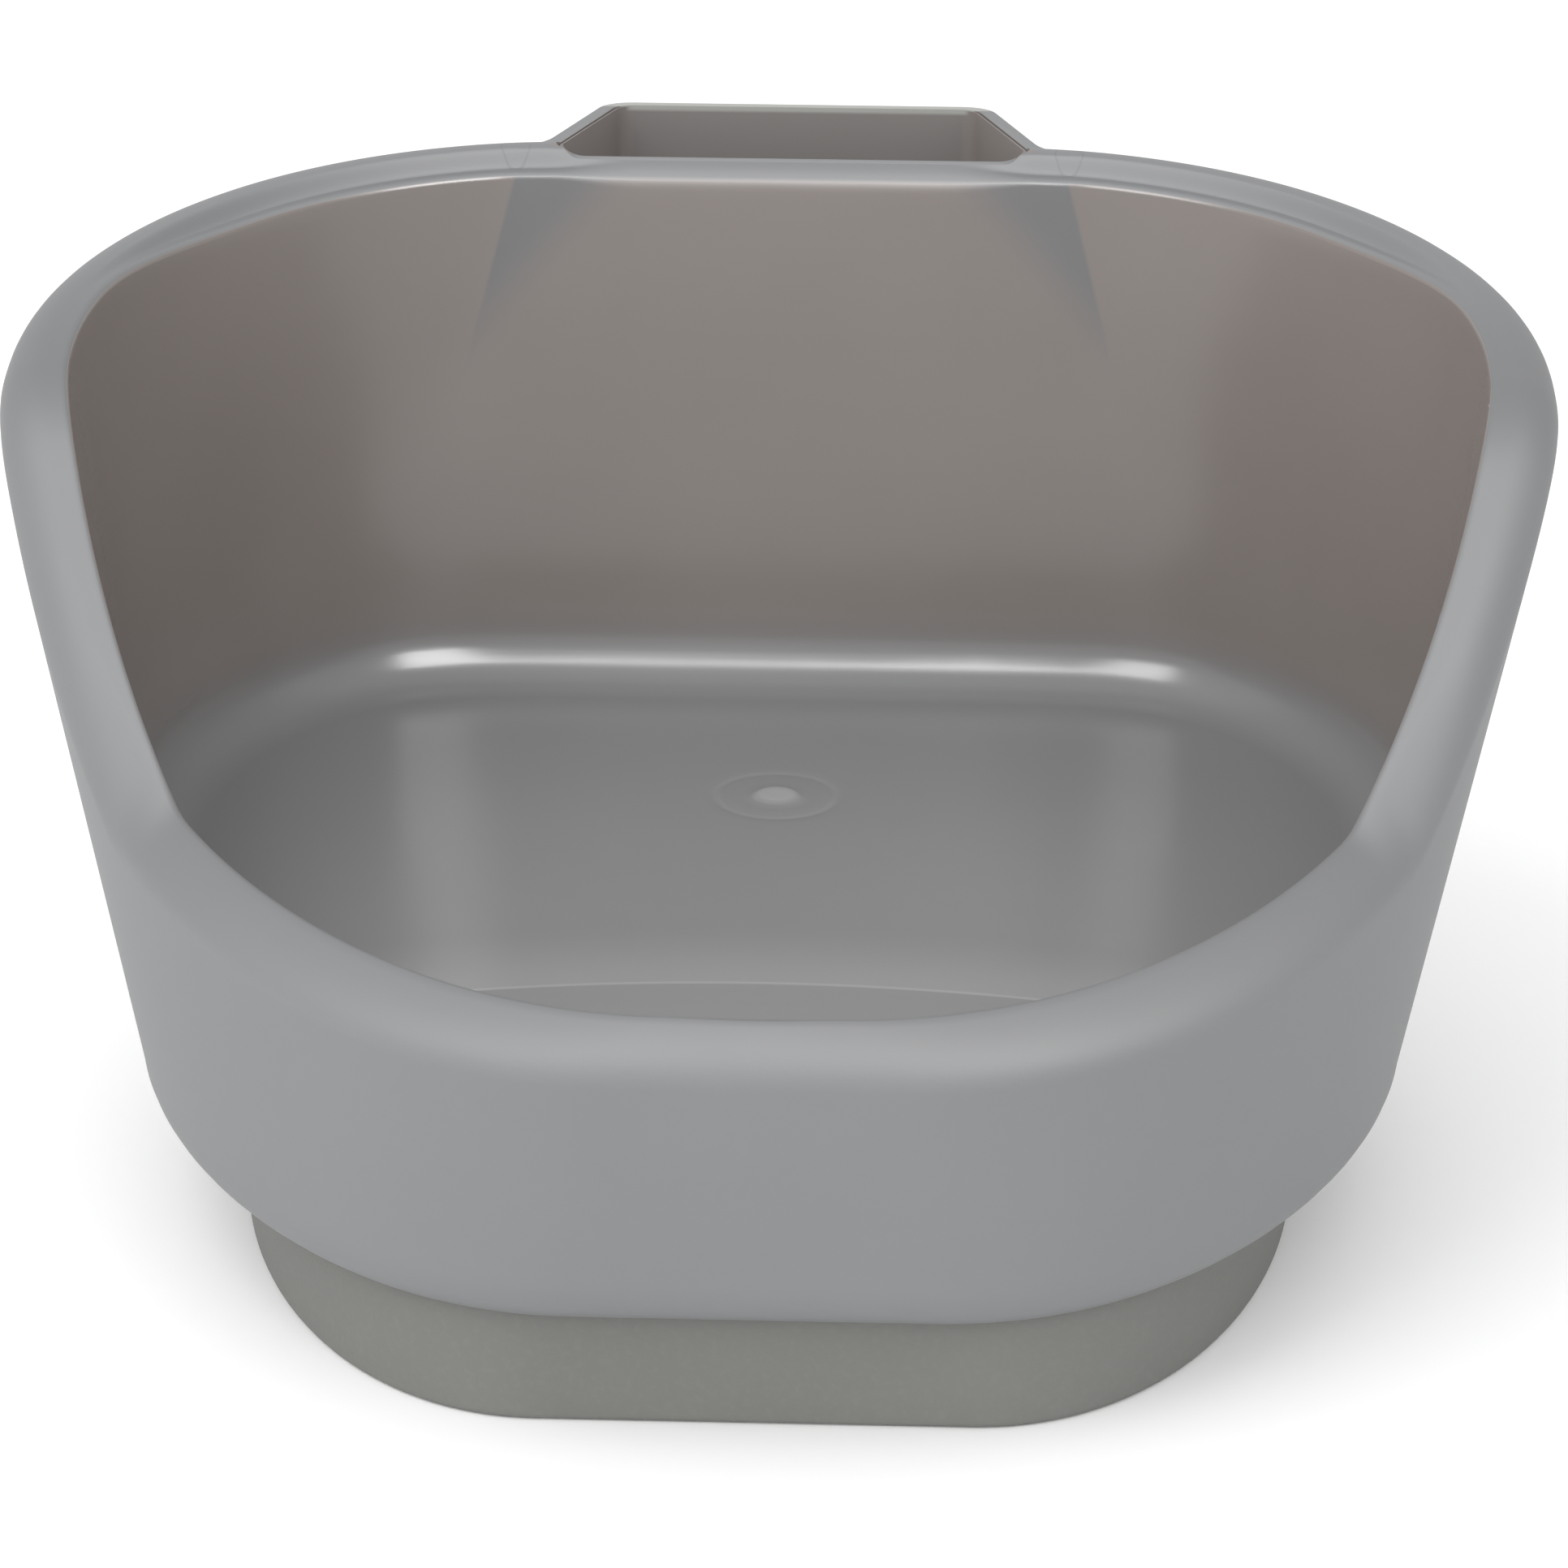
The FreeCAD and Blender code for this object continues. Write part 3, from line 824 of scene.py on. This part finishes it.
def moulded_plastic(look):
    """Grey plastic, satin outside and polished inside, with the marks of its mould and painted
    light and shade.
    """
    finish = Finish("moulded plastic")
    place = finish.place()
    x, y, z = (finish.part(place, axis) for axis in "XYZ")
    polished = finish.node("ShaderNodeAttribute", {"attribute_name": "polished"}, {}, "Fac")
    clouds = finish.noise(place, 38.0, 3.0)
    colour_now = finish.mix(polished, outside_colour(finish, look, place, clouds),
                            inside_colour(finish, look, place, clouds))
    colour_now = loop_colours(finish, look, place, colour_now)

    rim = abs(away_from(abs(x), y, EJECTOR_MARK) - EJECTOR_RADIUS * MM)
    ejector_ring_and_shade = finish.step(rim, 0.0, 0.14, 1.0, 0.0) * finish.step(z, 70.0, 72.0)
    # The ejector marks are real shallow rings; their darker edge is painted shade in the step.
    colour_now = finish.mix(ejector_ring_and_shade * 0.3, colour_now, tone(look.shell, 0.6))

    # Level streaks of the polished mould, grain of the satin one, and slow waves of both
    streaks = finish.noise(finish.scaled(place, (26.0, 26.0, 1500.0)), 1.0, 2.0)
    grain = finish.noise(place, 2600.0, 2.0)
    waves = finish.noise(place, 95.0, 1.0)
    roughness = look.satin + polished * (look.polish - look.satin)
    roughness = roughness + (clouds - 0.5) * 0.08 + (streaks - 0.5) * polished * 0.10
    height = grain * (1.0 - polished) * 0.35 + streaks * polished * 0.30 - ejector_ring_and_shade * 1.2
    fine = finish.bump(height, 0.03 * MM, 0.55)
    normal = finish.bump(waves, 0.10 * MM, 0.5, fine)
    finish.set(Base_Color=colour_now, Roughness=roughness, Normal=normal, IOR=1.49,
               Specular_IOR_Level=0.5)
    return finish.material


def soft_rubber(look):
    """Matt soft rubber with a fine moulded grain."""
    finish = Finish("soft rubber")
    place = finish.place()
    clouds = finish.noise(place, 55.0, 4.0, 0.6)
    speckle = finish.noise(place, 1500.0, 2.0)
    colour_now = finish.mix(clouds, tone(look.base, 0.93), tone(look.base, 1.07))
    colour_now = finish.mix(finish.ramp(speckle, 0.45, 0.8, 0.0, 0.25), colour_now,
                            tone(look.base, 1.25))
    roughness = look.rubber + (clouds - 0.5) * 0.12 + (speckle - 0.5) * 0.10
    grain = finish.noise(place, 2100.0, 3.0)
    finish.set(Base_Color=colour_now, Roughness=roughness,
               Normal=finish.bump(grain, 0.06 * MM, 0.7), IOR=1.45, Specular_IOR_Level=0.35)
    return finish.material


def pale_table(look):
    """Seamless white table."""
    finish = Finish("pale table")
    clouds = finish.noise(finish.place(), 3.0, 1.0)
    finish.set(Base_Color=finish.mix(clouds, tone(look.table, 0.99), tone(look.table)),
               Roughness=0.7)
    return finish.material


# ---------------------------------------------------------------- operators

class BOWL_OT_moulded_bowl(Operator):
    """Builds the moulded bowl with its rolled rim, pouring lip and grip loop"""
    bl_idname = "bowl.moulded_bowl"
    bl_label = "Moulded Bowl"

    def execute(self, context):
        scene = context.scene
        shape = BowlShape(scene.bowl_sizes, scene.bowl_base_sizes)
        rings, first = shape.underside()
        satin = len(rings)
        rings += shape.outside()
        rim, top = shape.rim()
        rings += rim
        polished_from = len(rings) - 3
        rings += shape.inside(top)
        floor, last = shape.floor_rings(rings[-1])
        rings += floor
        verts, faces = skin(rings, first, last)
        bowl = new_object("moulded_bowl", verts, faces)

        count = shape.columns.count
        polished = np.zeros(len(verts), dtype=np.float32)
        polished[polished_from * count:len(rings) * count] = 1.0
        polished[-1] = 1.0
        attribute = bowl.data.attributes.new("polished", "FLOAT", "POINT")
        attribute.data.foreach_set("value", polished)

        profile = np.array([ring[0, 1:] for ring in rings[satin:polished_from]]).T
        loop = GripLoop(shape, profile)
        combine(bowl, new_object("loop block", *loop.block()), "UNION")
        combine(bowl, new_object("loop opening", *loop.opening()), "DIFFERENCE")
        shade(bowl, 28.0)
        finish_piece(bowl, moulded_plastic(scene.bowl_finish), "bowl_body")
        return {"FINISHED"}


class BOWL_OT_soft_base(Operator):
    """Builds the soft base that is pressed over the edge of the opening under the bowl"""
    bl_idname = "bowl.soft_base"
    bl_label = "Soft Base"

    BEAD_HEIGHT = 2.2       # of the bead that grips the edge of the opening, in millimetres
    CUP_FLOOR = 2.6         # level of the floor inside the cup

    def execute(self, context):
        scene = context.scene
        sizes = scene.bowl_base_sizes
        columns = Columns(back=12, rear=70, front=70, lip=12)
        height, draft = sizes.height / MM, sizes.draft / MM
        edge, recess = sizes.edge_round / MM, sizes.tread_recess / MM
        tread = sizes.tread_width / MM
        pad = sizes.pad_radius / MM
        skirt = scene.bowl_sizes.skirt_wall / MM
        ring = columns.ring
        around = ring(FOOT, 0.0)[:, :2] - np.array([0.0, FOOT[3]])
        way = around / np.linalg.norm(around, axis=1, keepdims=True)

        def disc(radius, z):
            return np.column_stack([way * radius, np.full(columns.count, z)])

        rings = [disc(pad * 0.5, 0.0), disc(pad - 0.3, 0.0), disc(pad, 0.25),
                 disc(pad, recess - 0.2), disc(pad + 0.2, recess)]
        inner = FOOT - tread * ALL_ROUND
        rings += [ring(inner - 0.2 * ALL_ROUND, recess), ring(inner, recess - 0.2),
                  ring(inner, 0.25), ring(inner + 0.25 * ALL_ROUND, 0.0)]
        for turn in np.linspace(0.0, 0.5 * math.pi, 7):
            rings.append(ring(FOOT - edge * (1.0 - math.sin(turn)) * ALL_ROUND,
                              edge * (1.0 - math.cos(turn))))
        for part in np.linspace(0.0, 1.0, 8)[1:]:
            z = edge + (height - 0.3 - edge) * part
            rings.append(ring(FOOT + draft * z / height * ALL_ROUND, z))
        rings += [ring(FOOT + (draft - 0.1) * ALL_ROUND, height - 0.08),
                  ring(FOOT + (draft - 0.35) * ALL_ROUND, height),
                  ring(NECK, height), ring(NECK, height + skirt)]

        # The bead over the edge of the opening, then the inside of the cup
        seat = height + skirt
        top = seat + self.BEAD_HEIGHT
        rings += [ring(NECK + grow * ALL_ROUND, z) for grow, z in (
            (0.9, seat), (0.9, seat + 0.5), (-0.2, top), (-1.9, top),
            (-2.0, seat), (-2.0, 4.0), (-3.4, self.CUP_FLOOR))]
        rings.append(disc(10.0, self.CUP_FLOOR))
        verts, faces = skin(rings, (0.0, 0.0, 0.0), (0.0, 0.0, self.CUP_FLOOR))
        base = new_object("soft_base", verts, faces)
        shade(base, 35.0)
        finish_piece(base, soft_rubber(scene.bowl_finish), "non_slip_base")
        return {"FINISHED"}


class BOWL_OT_studio(Operator):
    """Sets up the pale table, the room, the soft lights and the camera"""
    bl_idname = "bowl.studio"
    bl_label = "Studio"

    CAMERA_PLACE = (8.64, -320.8, 162.54)       # in millimetres
    PITCH, YAW, ROLL = 0.3731, -0.0237, 0.0087
    LENS, SENSOR = 91.7646, 36.0
    TABLE_HALF = 3.0
    AIM = Vector((0.0, 0.0, 0.03))      # where the lights point, in metres

    # Name of the light and of its power, place and size in metres, and the rays it is seen by
    LIGHTS = (
        ("key", (-0.30, -0.48, 0.66), (0.42, 0.50), "gloss"),
        ("fill", (0.25, -0.49, 0.65), (0.42, 0.50), "gloss"),
        ("top", (-0.45, -0.35, 0.85), (0.6, 0.6), "diffuse"),
        ("side", (-0.75, -0.3, 0.16), (0.4, 0.3), "diffuse"),
        ("front", (0.0, -1.1, 0.5), (2.2, 1.2), "diffuse"),
    )

    def execute(self, context):
        look = context.scene.bowl_studio
        self.table(look)
        self.room(context.scene, look)
        for name, place, size, rays in self.LIGHTS:
            self.soft_light(name, getattr(look, name), place, size, rays)
        self.camera(context.scene)
        context.scene.view_settings.view_transform = "Standard"
        return {"FINISHED"}

    def table(self, look):
        half = self.TABLE_HALF
        mesh = bpy.data.meshes.new("table")
        corners = [(-half, -half, 0), (half, -half, 0), (half, half, 0), (-half, half, 0)]
        mesh.from_pydata(corners, [], [(0, 1, 2, 3)])
        mesh.materials.append(pale_table(look))
        table = bpy.data.objects.new("table", mesh)
        bpy.context.scene.collection.objects.link(table)

    def room(self, scene, look):
        world = bpy.data.worlds.new("studio")
        world.use_nodes = True
        background = world.node_tree.nodes["Background"]
        background.inputs["Color"].default_value = (1.0, 1.0, 1.0, 1.0)
        background.inputs["Strength"].default_value = look.room
        scene.world = world

    def soft_light(self, name, power, place, size, rays):
        data = bpy.data.lights.new(name, "AREA")
        data.shape = "RECTANGLE"
        data.size, data.size_y = size
        data.energy = power
        light = bpy.data.objects.new(name, data)
        bpy.context.scene.collection.objects.link(light)
        light.location = place
        light.visible_diffuse = rays == "diffuse"
        light.visible_glossy = rays == "gloss"
        aim = self.AIM - Vector(place)
        light.rotation_euler = aim.to_track_quat("-Z", "Y").to_euler()

    def camera(self, scene):
        pitch, yaw, roll = self.PITCH, self.YAW, self.ROLL
        forward = Vector((math.sin(yaw) * math.cos(pitch), math.cos(yaw) * math.cos(pitch),
                          -math.sin(pitch)))
        right = Vector((math.cos(yaw), -math.sin(yaw), 0.0))
        up = right.cross(forward)
        right, up = (math.cos(roll) * right + math.sin(roll) * up,
                     math.cos(roll) * up - math.sin(roll) * right)
        data = bpy.data.cameras.new("camera")
        data.sensor_width = self.SENSOR
        data.lens = self.LENS
        camera = bpy.data.objects.new("camera", data)
        scene.collection.objects.link(camera)
        turn = Matrix((right, up, -forward)).transposed()
        camera.matrix_world = Matrix.Translation(Vector(self.CAMERA_PLACE) * MM) @ turn.to_4x4()
        scene.camera = camera


class BOWL_PT_builder(Panel):
    """Lists the sizes, colours and build steps of the bowl"""
    bl_idname = "BOWL_PT_builder"
    bl_label = "Hair Colour Bowl"
    bl_space_type = "VIEW_3D"
    bl_region_type = "UI"
    bl_category = "Bowl"

    def draw(self, context):
        for step in STEPS:
            self.layout.operator(step.bl_idname)
        for name, (group, title) in SETTINGS.items():
            box = self.layout.box()
            box.label(text=title)
            settings = getattr(context.scene, name)
            for prop in group.__annotations__:
                box.prop(settings, prop)


STEPS = (BOWL_OT_moulded_bowl, BOWL_OT_soft_base, BOWL_OT_studio)
SETTINGS = {
    "bowl_sizes": (BowlSizes, "Bowl"),
    "bowl_base_sizes": (BaseSizes, "Soft Base"),
    "bowl_finish": (BowlFinish, "Finish"),
    "bowl_studio": (StudioLook, "Studio"),
}


def register():
    for name, (group, _) in SETTINGS.items():
        bpy.utils.register_class(group)
        setattr(bpy.types.Scene, name, PointerProperty(type=group))
    for step in STEPS:
        bpy.utils.register_class(step)
    bpy.utils.register_class(BOWL_PT_builder)


def unregister():
    bpy.utils.unregister_class(BOWL_PT_builder)
    for step in reversed(STEPS):
        bpy.utils.unregister_class(step)
    for name, (group, _) in SETTINGS.items():
        delattr(bpy.types.Scene, name)
        bpy.utils.unregister_class(group)


def main():
    register()
    bpy.ops.bowl.moulded_bowl()
    bpy.ops.bowl.soft_base()
    bpy.ops.bowl.studio()


if __name__ == "__main__":
    main()
